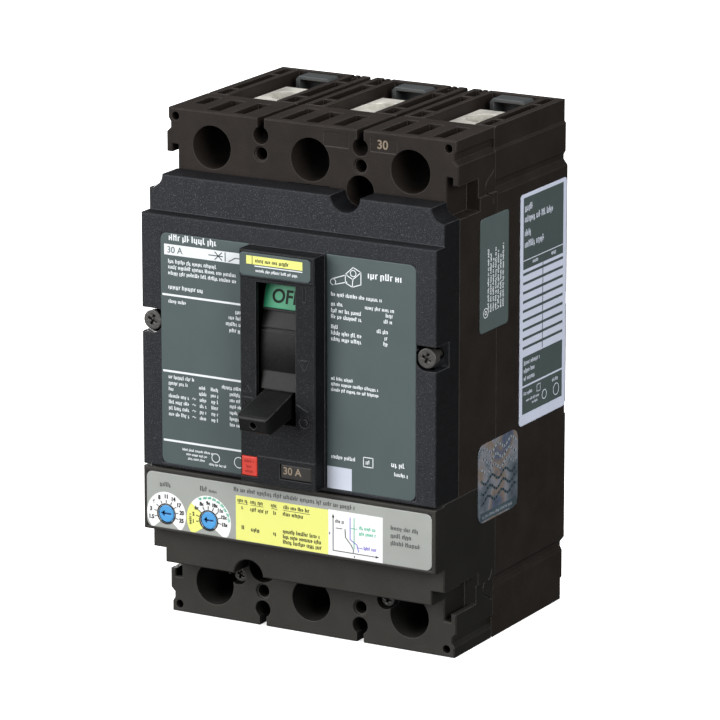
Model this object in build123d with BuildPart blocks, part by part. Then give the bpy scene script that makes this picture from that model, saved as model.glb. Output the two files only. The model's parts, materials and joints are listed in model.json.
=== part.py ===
"""Three-pole motor protection breaker in a moulded case, with a toggle handle and an adjustable trip unit.

Frame: X across the poles, +Y into the mounting panel, +Z towards the line terminals. The origin is the
centre of the rear mounting face. Places are given as (x, depth, z), where depth is the distance in front
of the rear face, so y = -depth. Millimetres.
"""

import os
from math import atan2, cos, degrees, radians, sin

from build123d import *

# ---- driving dimensions -------------------------------------------------------------------------------
HALF_WIDTH = 52.0  # case body
HALF_HEIGHT = 81.5  # line rim to load rim is 163
PITCH = 35.0  # pole to pole
POLES = (-PITCH, 0.0, PITCH)
SPLIT = 47.5  # parting plane between the base and what bolts onto it
BLOCK_FRONT = 71.5  # front of the terminal blocks
TIER_FRONT = 81.0  # recessed shoulders above and below the main face
LOWER_TIER_FRONT = 80.5
FACE = 86.0  # main face of the cover and of the trip unit
BOSS = 92.3  # face round the toggle
GAP = 0.15  # moulding-to-moulding clearance

LUG_Z = 70.4  # screwdriver access holes, above and below the middle
ACCESS_R = 6.85
BORE_R = 6.2  # conductor bore of a lug
LUG_DEPTH = 24.0  # conductor bore's distance from the rear face
LUG_TOP = 78.0
LUG_BOTTOM = 59.0
LUG_SCREW_R = 4.0
POCKET_HALF = 8.8  # lug pocket, inside
POCKET_FLOOR = 57.5
BARRIER_X = PITCH / 2
BARRIER_HALF = 1.3  # slot for an interphase barrier
MOUNT_Z = 62.5  # 125 mm between mounting holes
MOUNT_R = 3.0
MOUNT_SEAT = 42.0
MOUNT_HEAD_R = 4.85

COVER_BOTTOM = -29.6  # joint between the cover and the trip unit
COVER_TOP = 62.5
STEP_Z = 51.0  # ledge between the main face and the upper shoulder
TRIP_STEP_Z = -50.6
SHOULDER_Z = -58.0
SHOULDER_END = -62.6
SHOULDER_HALF = 47.6

WINDOW = (-7.6, 6.4, -8.6, 35.5)  # toggle window: x and z limits
BOSS_HALF = 13.2
BOSS_Z = (-28.3, 45.3)

HANDLE_X = -0.6
PIVOT = (22.4, 13.4)  # handle pivot: depth, z
BARREL_R = 67.0  # outside of the curved shutter
SHUTTER_WAY = (-8.2, 7.0)  # x limits of the space the shutter swings in
SWING = 26.4  # handle travel, off to on
REST = -SWING / 2  # the handle stands this far below square at off
TIP_R = 85.0

SHAFT = (28.0, -2.0)  # contact shaft: depth, z
CRANK = 12.0  # radius of the link pins on the yoke and on the shaft
SHAFT_R = 4.5
ROTOR_R = 12.0
ROTOR_HALF = 6.5
BLADE_HALF = 20.0
BLADE_REST = -8.4  # contact blade's lean towards the front at off

DIAL_Z = -44.9
DIALS = (-43.7, -28.3)
DIAL_R = 2.85
TRIP_BAR = (62.0, -14.0)
PADDLE = 9.0  # trip bar axis to the button stem
BUTTON_X, BUTTON_Z = -10.05, -23.2
PLUNGER = (20.0, 60.0)  # trip solenoid's plunger: x, depth

LABEL = 0.3  # thickness of the printed labels


# ---- helpers ------------------------------------------------------------------------------------------
def front(depth):
    """Plane at a depth in front of the rear face, seen from the front: local x is X and local y is Z."""
    return Plane.XZ.offset(depth)


def block(x, depth, z, mode=Mode.ADD):
    """A box between two x, two depths and two z."""
    place = ((x[0] + x[1]) / 2, -(depth[0] + depth[1]) / 2, (z[0] + z[1]) / 2)
    with Locations(place):
        Box(abs(x[1] - x[0]), abs(depth[1] - depth[0]), abs(z[1] - z[0]), mode=mode)


def bore(x, z, radius, depth, mode=Mode.SUBTRACT):
    """A cylinder along Y between two depths."""
    with Locations((x, -(depth[0] + depth[1]) / 2, z)):
        Cylinder(radius, abs(depth[1] - depth[0]), rotation=(90, 0, 0), mode=mode)


def rod(place, radius, x, mode=Mode.ADD):
    """A cylinder along X at (depth, z)."""
    with Locations(((x[0] + x[1]) / 2, -place[0], place[1])):
        Cylinder(radius, abs(x[1] - x[0]), rotation=(0, 90, 0), mode=mode)


def polar(centre, radius, angle):
    """(depth, z) at an angle above straight-ahead from a centre given as (depth, z)."""
    return centre[0] + radius * cos(radians(angle)), centre[1] + radius * sin(radians(angle))


def side_plane(x):
    """Plane across X, with local x as depth and local y as Z."""
    return Plane(origin=(x, 0, 0), x_dir=(0, -1, 0), z_dir=(-1, 0, 0))


def save(shape, label):
    shape.label = label
    export_step(shape, f"parts/{label}.step")


def edges_on(part, depth):
    """Edges of the faces that lie at a depth, looking back along Y."""
    faces = part.faces().filter_by(Axis.Y).filter_by_position(Axis.Y, -depth - 0.01, -depth + 0.01)
    return faces.edges()


# ---- terminal blocks ----------------------------------------------------------------------------------
def block_profile(side, end):
    """Front outline of one side of a terminal block, from its rim inwards. end is +1 at the line end."""
    rim = [(50.7, 81.5), (50.7, 78.3), (49.9, 77.0), (49.9, 75.2), (51.3, 73.8), (51.3, 67.5)]
    foot = [(49.4, 67.5), (49.4, 70.0), (47.2, 70.0), (47.2, POCKET_FLOOR - 0.2)]
    return [(side * x, end * z) for x, z in rim + foot]


def terminal_outline(end, inner_z):
    """Closed front outline of a terminal block between its rim and inner_z."""
    right, left = block_profile(1, end), block_profile(-1, end)
    return [*right[:-1], (47.2, inner_z), (-47.2, inner_z), *reversed(left[:-1]), right[0]]


def terminal_holes(end):
    """What is cut in the front of a terminal block: access holes, barrier keyholes and tapped holes."""
    for x in POLES:
        bore(x, end * LUG_Z, ACCESS_R, (SPLIT - 1, BLOCK_FRONT + 1))
    for x in (-BARRIER_X, BARRIER_X):
        bore(x, end * 76.0, 2.75, (SPLIT - 1, BLOCK_FRONT + 1))
        slot = (x - 1.25, x + 1.25)
        block(slot, (SPLIT - 1, BLOCK_FRONT + 1), (end * 76.0, end * 82.5), Mode.SUBTRACT)
        bore(x, end * 70.2, 2.0, (BLOCK_FRONT - 9, BLOCK_FRONT + 1))
        bore(x, end * 70.2, 2.5, (BLOCK_FRONT - 0.6, BLOCK_FRONT + 1))
    for x in (-48.0, 48.0):
        bore(x, end * 79.0, 1.35, (BLOCK_FRONT - 8, BLOCK_FRONT + 1))
    x = end * BARRIER_X
    bore(x, end * MOUNT_Z, MOUNT_HEAD_R, (SPLIT - 1, BLOCK_FRONT + 1))


def rim_pockets(end):
    """Weight-saving pockets in the rim of a terminal block, either side of each access tube."""
    deep = (SPLIT + 5.5, BLOCK_FRONT - 2.6)
    for x in POLES:
        # the first one stops short of the hole in the corner
        reach = (SPLIT + 4.2, BLOCK_FRONT - (9.0 if x == POLES[0] else 2.6))
        block((x - 12.0, x - 8.0), reach, (end * 73.5, end * 82.5), Mode.SUBTRACT)
        block((x + 5.9, x + 10.4), deep, (end * 73.5, end * 82.5), Mode.SUBTRACT)
        block((x - 3.6, x + 1.4), deep, (end * 78.8, end * 82.5), Mode.SUBTRACT)


# ---- base ---------------------------------------------------------------------------------------------
def build_base():
    with BuildPart() as base:
        with BuildSketch(front(0)):
            with BuildLine():
                # one quarter of the outline, then mirrored: body, side groove, stepped rim
                quarter = [(HALF_WIDTH, 0), (HALF_WIDTH, 60.6), (50.6, 62.4), (50.6, 63.8), (51.3, 65.1)]
                rim = [(51.3, 74.0), (50.8, 74.6), (50.8, HALF_HEIGHT), (0, HALF_HEIGHT)]
                Polyline(*quarter, *rim, (0, 0), close=True)
            make_face()
            mirror(about=Plane.XZ)
            mirror(about=Plane.YZ)
        extrude(amount=SPLIT)
        chamfer(base.faces().sort_by(Axis.Y)[-1].edges(), 0.5)

        # three pole chambers, open to the front
        wall = 2.0
        for x in POLES:
            left = x - PITCH / 2 + wall if x > POLES[0] else -HALF_WIDTH + 2.8
            right = x + PITCH / 2 - wall if x < POLES[-1] else HALF_WIDTH - 2.8
            block((left, right), (3.0, SPLIT + 1), (-52.0, 52.0), Mode.SUBTRACT)
        # cradles in the partitions for the contact shaft
        for x in (-BARRIER_X, BARRIER_X):
            block((x - 3, x + 3), (SHAFT[0] - 5.2, SPLIT + 1), (SHAFT[1] - 5.2, SHAFT[1] + 5.2), Mode.SUBTRACT)
            bore(x, 45.0, 3.8, (3.0, SPLIT), Mode.ADD)
            bore(x, 45.0, 1.6, (28.0, SPLIT + 1))

        for end in (1, -1):
            floor, rim_z = end * POCKET_FLOOR, end * (HALF_HEIGHT + 1)
            # hairline step at the joint with the front half
            joint = (SPLIT - 0.9, SPLIT + 1)
            block((-HALF_WIDTH, HALF_WIDTH), joint, (end * (HALF_HEIGHT - 0.35), rim_z), Mode.SUBTRACT)
            for x in POLES:
                block((x - POCKET_HALF, x + POCKET_HALF), (2.2, SPLIT + 1), (floor, rim_z), Mode.SUBTRACT)
                # way through the pocket floor for the terminal strap
                block((x - 5.3, x + 5.3), (9.2, 12.3), (end * 51.0, floor), Mode.SUBTRACT)
                # narrow pockets between the double walls, with a cross rib at each third
                for a, b in ((10.4, 14.6), (-14.6, -10.4)):
                    outer = abs(x + a) > 43 or abs(x + b) > 43
                    span = (x + a, x + b)
                    if outer:
                        span = (45.4, 48.6) if x > 0 else (-48.6, -45.4)
                    for depth in ((2.2, 11.4), (12.6, 36.4), (37.6, SPLIT - 1.2)):
                        block(span, depth, (end * 68.0, rim_z), Mode.SUBTRACT)
            for x in (-BARRIER_X, BARRIER_X):
                slot = (x - BARRIER_HALF, x + BARRIER_HALF)
                block(slot, (-1, SPLIT + 1), (end * 69.5, rim_z), Mode.SUBTRACT)
                # notches along the rear rim
                for offset in (-6.6, -4.4, 4.4, 6.6):
                    notch = (x + offset - 0.55, x + offset + 0.55)
                    block(notch, (-1, 2.4), (end * (HALF_HEIGHT - 0.9), rim_z), Mode.SUBTRACT)
            x = end * BARRIER_X
            bore(x, end * MOUNT_Z, MOUNT_R, (-1, SPLIT + 1))
            bore(x, end * MOUNT_Z, MOUNT_HEAD_R, (MOUNT_SEAT, SPLIT + 1))
        # bosses for the trip unit's screws, beside the load lugs
        for x in (-26.45, 26.45):
            bore(x, -66.5, 2.7, (38.4, SPLIT), Mode.ADD)
            bore(x, -66.5, 1.45, (39.6, SPLIT + 1))
        # rail-clip grooves across the back
        for z in (-17.8, 17.8):
            block((-HALF_WIDTH - 1, HALF_WIDTH + 1), (-1, 1.2), (z - 2.0, z + 2.0), Mode.SUBTRACT)
    return base.part


def seam_hooks(end):
    """Hairline round the moulded latch that joins the two halves, on both sides of the case."""
    bend = [(49.8, 58.2), (50.2, 60.1), (52.5, 61.6), (54.0, 64.0), (52.5, 66.1), (50.2, 67.2), (48.7, 68.5)]
    for x in (-HALF_WIDTH + 1.8, HALF_WIDTH + 1):
        with BuildSketch(side_plane(x)) as hairline:
            with BuildLine():
                Spline(*[(depth, end * z) for depth, z in bend])
            trace(line_width=0.4)
        extrude(hairline.sketch, amount=2.8, mode=Mode.SUBTRACT)


# ---- intermediate cover -------------------------------------------------------------------------------
def build_mid_cover():
    with BuildPart() as cover:
        with BuildSketch(front(SPLIT)):
            with BuildLine():
                Polyline(terminal_outline(1, 56.0))
            make_face()
        extrude(amount=BLOCK_FRONT - SPLIT)
        chamfer(edges_on(cover, BLOCK_FRONT), 0.35)
        block((-HALF_WIDTH, HALF_WIDTH), (SPLIT, 58.5), (COVER_BOTTOM, 67.3))
        block((-HALF_WIDTH, HALF_WIDTH), (SPLIT, BLOCK_FRONT), (COVER_BOTTOM, POCKET_FLOOR))
        block((-51.3, 51.3), (SPLIT, 58.5), (67.3, 73.8))
        # the body side narrows to the block's width above the shoulder
        for side in (-1, 1):
            block((side * 51.3, side * 53), (SPLIT - 1, 59.5), (61.5, 82), Mode.SUBTRACT)
        seam_hooks(1)
        terminal_holes(1)
        rim_pockets(1)
        # chamber behind the cover, and the opening that the handle works through
        block((-49.2, 49.2), (SPLIT - 1, BLOCK_FRONT - 2.5), (-27.0, 52.0), Mode.SUBTRACT)
        block((-14.8, 14.8), (SPLIT, BLOCK_FRONT + 1), (-27.0, 47.0), Mode.SUBTRACT)
        # clear way for both ends of the handle's shutter
        block(SHUTTER_WAY, (60.0, 73.0), (COVER_BOTTOM - 1, -26.0), Mode.SUBTRACT)
        block(SHUTTER_WAY, (60.0, BLOCK_FRONT + 1), (46.0, 62.6), Mode.SUBTRACT)
        with Locations((PLUNGER[0], -PLUNGER[1], COVER_BOTTOM)):
            Cylinder(2.0, 8.0, mode=Mode.SUBTRACT)
        # seat for the trip button's spring, pierced for the stem
        block((-15.5, -8.0), (69.0, 71.0), (-28.0, -19.6), Mode.ADD)
        block((-11.3, -8.8), (68.0, 72.0), (-24.7, -21.7), Mode.SUBTRACT)
        # pillars for the case screws
        for x in (-BARRIER_X, BARRIER_X):
            bore(x, 45.0, 3.8, (SPLIT, BLOCK_FRONT - 1), Mode.ADD)
            bore(x, 45.0, 1.95, (SPLIT - 1, BLOCK_FRONT + 1))
            bore(x, 45.0, 3.3, (BLOCK_FRONT - 4.5, BLOCK_FRONT + 1))
        # tapped pillars for the accessory cover's screws
        for x in (-48.4, 48.4):
            block((x - 2.6, x + 2.6), (SPLIT + 1, BLOCK_FRONT - 1), (13.6, 20.4), Mode.ADD)
            bore(x, 17.0, 1.3, (56.0, BLOCK_FRONT + 1))
        # nameplates beside the keyhole
        block((4.7, 13.4), (BLOCK_FRONT - 0.25, BLOCK_FRONT + 1), (75.2, 79.9), Mode.SUBTRACT)
        block((21.0, 30.2), (BLOCK_FRONT - 0.25, BLOCK_FRONT + 1), (75.2, 79.9), Mode.SUBTRACT)
    return cover.part


# ---- accessory cover ----------------------------------------------------------------------------------
def build_accessory_cover():
    back = BLOCK_FRONT + GAP
    x0, x1, z0, z1 = WINDOW
    with BuildPart() as cover:
        with BuildSketch(front(back)):
            with Locations((0, (COVER_BOTTOM + COVER_TOP) / 2)):
                Rectangle(2 * HALF_WIDTH, COVER_TOP - COVER_BOTTOM)
            with Locations((-HALF_WIDTH, COVER_TOP), (HALF_WIDTH, COVER_TOP)):
                Circle(4.6, mode=Mode.SUBTRACT)
            with Locations((BARRIER_X, COVER_TOP + 0.3)):
                Circle(5.15, mode=Mode.SUBTRACT)
        extrude(amount=TIER_FRONT - back)
        with BuildSketch(front(TIER_FRONT)):
            with Locations((0, (COVER_BOTTOM + STEP_Z) / 2)):
                Rectangle(2 * HALF_WIDTH, STEP_Z - COVER_BOTTOM)
        extrude(amount=FACE - TIER_FRONT)
        fillet(edges_on(cover, FACE), 0.5)
        fillet(edges_on(cover, TIER_FRONT).filter_by_position(Axis.Z, STEP_Z + 1, COVER_TOP + 9), 0.45)

        # boss round the toggle; the part above the window stands slightly proud
        with BuildSketch(front(FACE - 0.8)):
            with Locations((0, (BOSS_Z[0] + BOSS_Z[1]) / 2)):
                Rectangle(2 * BOSS_HALF, BOSS_Z[1] - BOSS_Z[0])
        extrude(amount=BOSS - FACE + 0.4)
        block((-BOSS_HALF, BOSS_HALF), (BOSS - 1, BOSS), (36.5, BOSS_Z[1]))
        chamfer(edges_on(cover, BOSS - 0.4).filter_by(Axis.Z), 0.3)
        chamfer(edges_on(cover, BOSS), 0.3)

        # hollow inside
        block((-49.6, 49.6), (back - 1, FACE - 2.2), (-27.4, 48.6), Mode.SUBTRACT)
        block((-10.9, 10.9), (back - 1, BOSS - 2.0), (-26.0, 43.2), Mode.SUBTRACT)
        # toggle window
        block((x0, x1), (back - 1, BOSS + 1), (z0, z1), Mode.SUBTRACT)
        # way for both ends of the shutter, at off through the joint wall and at on behind the shoulder
        for start, stop in ((-47.5, -30.0), (30.0, 47.5)):
            add(arc_band(BARREL_R - 3.2, BARREL_R + 0.6, start, stop, SHUTTER_WAY), mode=Mode.SUBTRACT)
        # guide for the trip button and its opening
        block((-13.0, -7.0), (FACE - 3.5, BOSS - 0.6), (-27.2, -19.2))
        block((-12.95, -7.15), (back - 1, BOSS + 1), (-26.5, -19.9), Mode.SUBTRACT)
        # window of the rating plug
        block((0.7, 11.9), (BOSS - 1.6, BOSS + 1), (-25.9, -21.0), Mode.SUBTRACT)
        # seats of the two side screws, open to the sides
        for side in (-1, 1):
            bore(side * 48.4, 17.0, 3.9, (78.0, FACE + 1))
            block((side * 48.4, side * 53), (78.0, FACE + 1), (13.1, 20.9), Mode.SUBTRACT)
            block((side * 45.0, side * 48.4), (83.5, FACE + 1), (19.2, 20.9), Mode.SUBTRACT)
            block((side * 49.7, side * HALF_WIDTH), (back, 76.5), (11.5, 22.5), Mode.ADD)
            block((side * 44.2, side * 51.0), (76.0, 78.0), (12.0, 22.0), Mode.ADD)
            bore(side * 48.4, 17.0, 1.75, (back - 1, 80.0))
        # seats for the three nameplates, let into the faces
        block((-45.0, -BOSS_HALF), (FACE - LABEL, FACE + 0.1), (-28.4, 45.6), Mode.SUBTRACT)
        block((BOSS_HALF + 0.8, 45.0), (FACE - LABEL, FACE + 0.1), (-28.4, 45.6), Mode.SUBTRACT)
        block((-13.0, 12.0), (BOSS - LABEL, BOSS + 0.1), (37.2, 44.6), Mode.SUBTRACT)
        engrave_marks()
    return cover.part


def engrave_marks():
    """Shallow moulded marks on the rails of the boss: a bar at on, a ring at off, arrows and a joint line."""
    face, floor = BOSS + 1, BOSS - 0.4 - 0.3
    block((9.0, 9.9), (floor, face), (31.0, 35.3), Mode.SUBTRACT)
    bore(9.4, -6.9, 1.75, (floor, face))
    bore(9.4, -6.9, 1.05, (floor - 0.3, BOSS - 0.45), Mode.ADD)
    block((7.4, 11.0), (floor, face), (12.7, 13.05), Mode.SUBTRACT)
    block((-7.0, BOSS_HALF), (floor, face), (-19.55, -19.25), Mode.SUBTRACT)
    marks = (  # x, z, length, turn
        (8.4, 11.2, 3.6, -62),
        (10.1, 11.2, 3.6, 62),
        (8.6, -2.2, 4.4, -25),
        (-10.6, -1.2, 3.6, 0),
        (-11.3, 1.9, 3.2, 60),
        (-10.1, 1.9, 3.2, -60),
        (-10.6, -4.3, 4.8, -62),
    )
    for x, z, length, turn in marks:
        with Locations(Location((x, -(face + floor) / 2, z), (0, -turn, 0))):
            Box(length, face - floor, 0.35, mode=Mode.SUBTRACT)


# ---- trip unit ----------------------------------------------------------------------------------------
def build_trip_unit():
    top = COVER_BOTTOM - GAP
    with BuildPart() as unit:
        with BuildSketch(front(SPLIT)):
            with BuildLine():
                Polyline(terminal_outline(-1, -56.0))
            make_face()
        extrude(amount=BLOCK_FRONT - SPLIT)
        chamfer(edges_on(unit, BLOCK_FRONT), 0.35)
        block((-HALF_WIDTH, HALF_WIDTH), (SPLIT, BLOCK_FRONT), (top, -POCKET_FLOOR))
        block((-HALF_WIDTH, HALF_WIDTH), (SPLIT, 58.5), (-56, -67.3))
        block((-51.3, 51.3), (SPLIT, 58.5), (-67.3, -73.8))
        for side in (-1, 1):
            block((side * 51.3, side * 53), (SPLIT - 1, 59.5), (-61.5, -82), Mode.SUBTRACT)
        # shoulder in front of the lug screws, and the setting face
        with BuildSketch(front(BLOCK_FRONT - 1)):
            with BuildLine():
                right = [(HALF_WIDTH, top), (HALF_WIDTH, SHOULDER_Z), (SHOULDER_HALF, SHOULDER_Z)]
                ends = [(SHOULDER_HALF, SHOULDER_END), (-SHOULDER_HALF, SHOULDER_END)]
                left = [(-SHOULDER_HALF, SHOULDER_Z), (-HALF_WIDTH, SHOULDER_Z), (-HALF_WIDTH, top)]
                Polyline(*right, *ends, *left, close=True)
            make_face()
            with Locations((-BARRIER_X, -62.8)):
                Circle(5.15, mode=Mode.SUBTRACT)
        extrude(amount=LOWER_TIER_FRONT - BLOCK_FRONT + 1)
        with BuildSketch(front(LOWER_TIER_FRONT)):
            with Locations((0, (top - 0.5 + TRIP_STEP_Z) / 2)):
                Rectangle(2 * HALF_WIDTH, top - 0.5 - TRIP_STEP_Z)
        extrude(amount=FACE - LOWER_TIER_FRONT)
        fillet(edges_on(unit, FACE), 0.4)
        tier = edges_on(unit, LOWER_TIER_FRONT).filter_by_position(Axis.Z, -70, TRIP_STEP_Z - 1)
        chamfer(tier, 0.35)

        seam_hooks(-1)
        terminal_holes(-1)
        rim_pockets(-1)
        # electronics chamber, open to the base
        block((-48.8, 48.8), (SPLIT - 1, BLOCK_FRONT - 1.0), (-32.2, -54.5), Mode.SUBTRACT)
        block((-48.8, 48.8), (BLOCK_FRONT - 2, FACE - 2.4), (-32.8, -48.6), Mode.SUBTRACT)
        # clear way for the lower end of the handle's shutter
        block(SHUTTER_WAY, (60.0, 76.0), (-37.5, top + 1), Mode.SUBTRACT)
        with Locations((PLUNGER[0], -PLUNGER[1], top)):
            Cylinder(2.0, 8.0, mode=Mode.SUBTRACT)
        for x in DIALS:
            bore(x, DIAL_Z, DIAL_R + 0.25, (FACE - 3, FACE + 1))
        # label seat
        block((-50.9, 50.7), (FACE - LABEL, FACE + 0.1), (-49.7, -31.6), Mode.SUBTRACT)
        # fixing screws to the base
        for x in (-26.45, 26.45):
            bore(x, -66.5, 2.9, (BLOCK_FRONT - 5.0, BLOCK_FRONT + 1))
            bore(x, -66.5, 1.75, (SPLIT - 1, BLOCK_FRONT))
    return unit.part


# ---- labels and plates --------------------------------------------------------------------------------
def flat_plate(x, z, depth, thickness, corner):
    """A rounded plate facing the front, its back at a depth."""
    with BuildPart() as plate:
        with BuildSketch(front(depth)):
            with Locations(((x[0] + x[1]) / 2, (z[0] + z[1]) / 2)):
                RectangleRounded(x[1] - x[0], z[1] - z[0], corner)
        extrude(amount=thickness)
    return plate.part


def nameplate(side):
    """A cover nameplate; its inner corners are square where it meets the boss."""
    x = (-44.9, -BOSS_HALF - 0.1) if side < 0 else (BOSS_HALF + 0.9, 44.9)
    with BuildPart() as plate:
        with BuildSketch(front(FACE - LABEL)) as outline:
            with Locations(((x[0] + x[1]) / 2, (-28.3 + 45.5) / 2)):
                Rectangle(x[1] - x[0], 45.5 + 28.3)
            outer = outline.vertices().sort_by(Axis.X)
            fillet(outer[:2] if side < 0 else outer[-2:], 2.2)
        extrude(amount=LABEL + 0.15)
    return plate.part


def setting_label():
    with BuildPart() as plate:
        with BuildSketch(front(FACE - LABEL)):
            with Locations((-0.1, (-49.6 - 31.7) / 2)):
                RectangleRounded(101.4, 17.9, 2.0)
            with Locations(*[(x, DIAL_Z) for x in DIALS]):
                Circle(DIAL_R + 0.3, mode=Mode.SUBTRACT)
        extrude(amount=LABEL + 0.1)
    return plate.part


def side_label(depth, z, corner):
    """A label stuck on the right side of the case."""
    with BuildPart() as plate:
        with BuildSketch(Plane.YZ.offset(HALF_WIDTH)):
            with Locations((-(depth[0] + depth[1]) / 2, (z[0] + z[1]) / 2)):
                RectangleRounded(abs(depth[1] - depth[0]), z[1] - z[0], corner)
        extrude(amount=0.2)
    return plate.part


def rating_plug():
    with BuildPart() as plug:
        block((0.85, 11.75), (BOSS - 1.6, BOSS - 0.7), (-25.75, -21.15))
        chamfer(edges_on(plug, BOSS - 0.7), 0.2)
    return plug.part


# ---- fasteners ----------------------------------------------------------------------------------------
def screw(x, z, head_r, head, shank_r, tip, recess_r):
    """Pan-head screw facing the front. head is (seat depth, top depth), tip the depth of its end."""
    bore(x, z, head_r, head, Mode.ADD)
    bore(x, z, shank_r, (tip, head[0]), Mode.ADD)
    for turn in (0, 90):
        with Locations(Location((x, -head[1], z), (0, 20 + turn, 0))):
            Box(2 * recess_r, 2.4, 0.9, mode=Mode.SUBTRACT)


def screw_group(places, **sizes):
    with BuildPart() as group:
        for x, z in places:
            screw(x, z, **sizes)
    return group.part


def lug_screws(end):
    """Hex-socket clamping screws of the three lugs, backed off clear of the conductor bores."""
    tip, top = LUG_DEPTH + BORE_R + 0.4, 42.5
    with BuildPart() as screws:
        for x in POLES:
            bore(x, end * LUG_Z, LUG_SCREW_R, (tip, top), Mode.ADD)
            with BuildSketch(front(top)):
                with Locations((x, end * LUG_Z)):
                    RegularPolygon(2.6, 6)
            extrude(amount=-6.0, mode=Mode.SUBTRACT)
    return screws.part


# ---- terminals ----------------------------------------------------------------------------------------
def lug(x, end):
    """Aluminium box lug: conductor bore along Z, clamping-screw bore from the front."""
    with BuildPart() as body:
        block((x - 8.4, x + 8.4), (12.6, 38.0), (end * LUG_BOTTOM, end * LUG_TOP))
        chamfer(body.edges().filter_by(Axis.Y), 0.8)
        with Locations((x, -LUG_DEPTH, end * 68)):
            Cylinder(BORE_R, 40, mode=Mode.SUBTRACT)
        bore(x, end * LUG_Z, LUG_SCREW_R + 0.05, (LUG_DEPTH, 39.0))
    return body.part


def terminal_clips(end):
    """Grey retaining clips behind the lugs: a frame with a slot through it, on a foot."""
    with BuildPart() as clips:
        for x in POLES:
            block((x - 6.4, x + 6.4), (2.4, 8.6), (end * 58.0, end * 81.0))
        tops = clips.edges().filter_by(Axis.Y).filter_by(lambda edge: abs(edge.center().Z) > 80.9)
        chamfer(tops, 1.2)
        for x in POLES:
            block((x - 5.0, x + 5.0), (3.6, 10.0), (end * 76.2, end * 79.9), Mode.SUBTRACT)
            block((x - 6.4, x + 6.4), (8.4, 9.1), (end * 74.6, end * 75.8))
    return clips.part


def line_terminal(x):
    """Copper strap from a line lug down to the upper fixed contact."""
    with BuildPart() as strap:
        block((x - 5.0, x + 5.0), (9.4, 12.1), (12.0, 77.0))
        block((x - 3.2, x + 3.2), (12.1, 17.6), (12.5, 19.5))
        block((x - 2.6, x + 2.6), (17.6, 18.5), (13.0, 19.0))
    return strap.part


def load_terminal(x):
    """Copper strap from the lower fixed contact, through the current transformer, to a load lug."""
    with BuildPart() as strap:
        block((x - 5.0, x + 5.0), (9.4, 12.1), (-77.0, -47.8))
        block((x - 5.0, x + 5.0), (9.4, 46.0), (-50.5, -47.8))
        block((x - 5.0, x + 5.0), (43.3, 46.0), (-50.5, -17.5))
        block((x - 3.2, x + 3.2), (38.4, 43.3), (-24.5, -17.5))
        block((x - 2.6, x + 2.6), (37.5, 38.4), (-24.0, -18.0))
    return strap.part


def arc_chute(x, low, high):
    """Steel splitter plates between two fibre cheeks, as one stack."""
    with BuildPart() as stack:
        for side in (-1, 1):
            block((x + side * 6.6, x + side * 7.8), (14.0, 40.0), (low, high))
        count = 6
        step = (high - low - 3.0) / (count - 1)
        for i in range(count):
            z = low + 1.5 + i * step
            block((x - 6.7, x + 6.7), (14.8, 39.2), (z - 0.5, z + 0.5))
    return stack.part


# ---- contact system -----------------------------------------------------------------------------------
def blade_plane():
    """Frame on the contact shaft whose local Z lies along the blades at rest."""
    return Location((0, -SHAFT[0], SHAFT[1]), (-BLADE_REST, 0, 0))


def build_contact_shaft():
    """Insulating shaft with a rotor in each pole and two crank arms for the links."""
    pin = polar(SHAFT, CRANK, REST)
    with BuildPart() as shaft:
        rod(SHAFT, SHAFT_R, (-44.0, 44.0))
        for x in POLES:
            rod(SHAFT, ROTOR_R, (x - ROTOR_HALF, x + ROTOR_HALF))
        for side in (-1, 1):
            with BuildSketch(side_plane(side * 8.6 if side < 0 else 10.1)) as arm:
                SlotCenterToCenter(CRANK, 6.6, rotation=REST)
            move = Location((0, -(SHAFT[0] + pin[0]) / 2, (SHAFT[1] + pin[1]) / 2))
            extrude(arm.sketch.moved(move), amount=1.5)
            rod(pin, 1.5, (side * 10.0, side * 12.0))
        # slots through the rotors for the blades
        for x in POLES:
            with Locations(blade_plane()):
                with Locations((x, 0, 0)):
                    Box(5.3, 4.3, 2 * ROTOR_R + 2, mode=Mode.SUBTRACT)
    return shaft.part


def moving_contact(x):
    """Copper blade through a rotor, with a silver-faced pad on each end."""
    with BuildPart() as blade:
        with Locations(blade_plane()):
            with Locations((x, 0, 0)):
                Box(5.0, 4.0, 2 * BLADE_HALF)
            with Locations((x, 2.5, BLADE_HALF - 3), (x, -2.5, 3 - BLADE_HALF)):
                Box(5.0, 1.0, 6.0)
    return blade.part


# ---- handle and mechanism -----------------------------------------------------------------------------
def arc_band(inner, outer, start, stop, x):
    """Part of a ring about the handle pivot, between two angles, spanning x."""
    with BuildPart() as band:
        with BuildSketch(side_plane(x[1])):
            with BuildLine():
                CenterArc(PIVOT, outer, start, stop - start)
                CenterArc(PIVOT, inner, start, stop - start)
                Line(polar(PIVOT, inner, start), polar(PIVOT, outer, start))
                Line(polar(PIVOT, inner, stop), polar(PIVOT, outer, stop))
            make_face()
        extrude(amount=x[1] - x[0])
    return band.part


def lever_plane(along):
    """Plane square to the toggle's lever, this far from the pivot."""
    depth, z = polar(PIVOT, along, REST)
    return Plane(origin=(HANDLE_X, -depth, z), x_dir=(1, 0, 0), z_dir=(0, -depth + PIVOT[0], z - PIVOT[1]))


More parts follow.
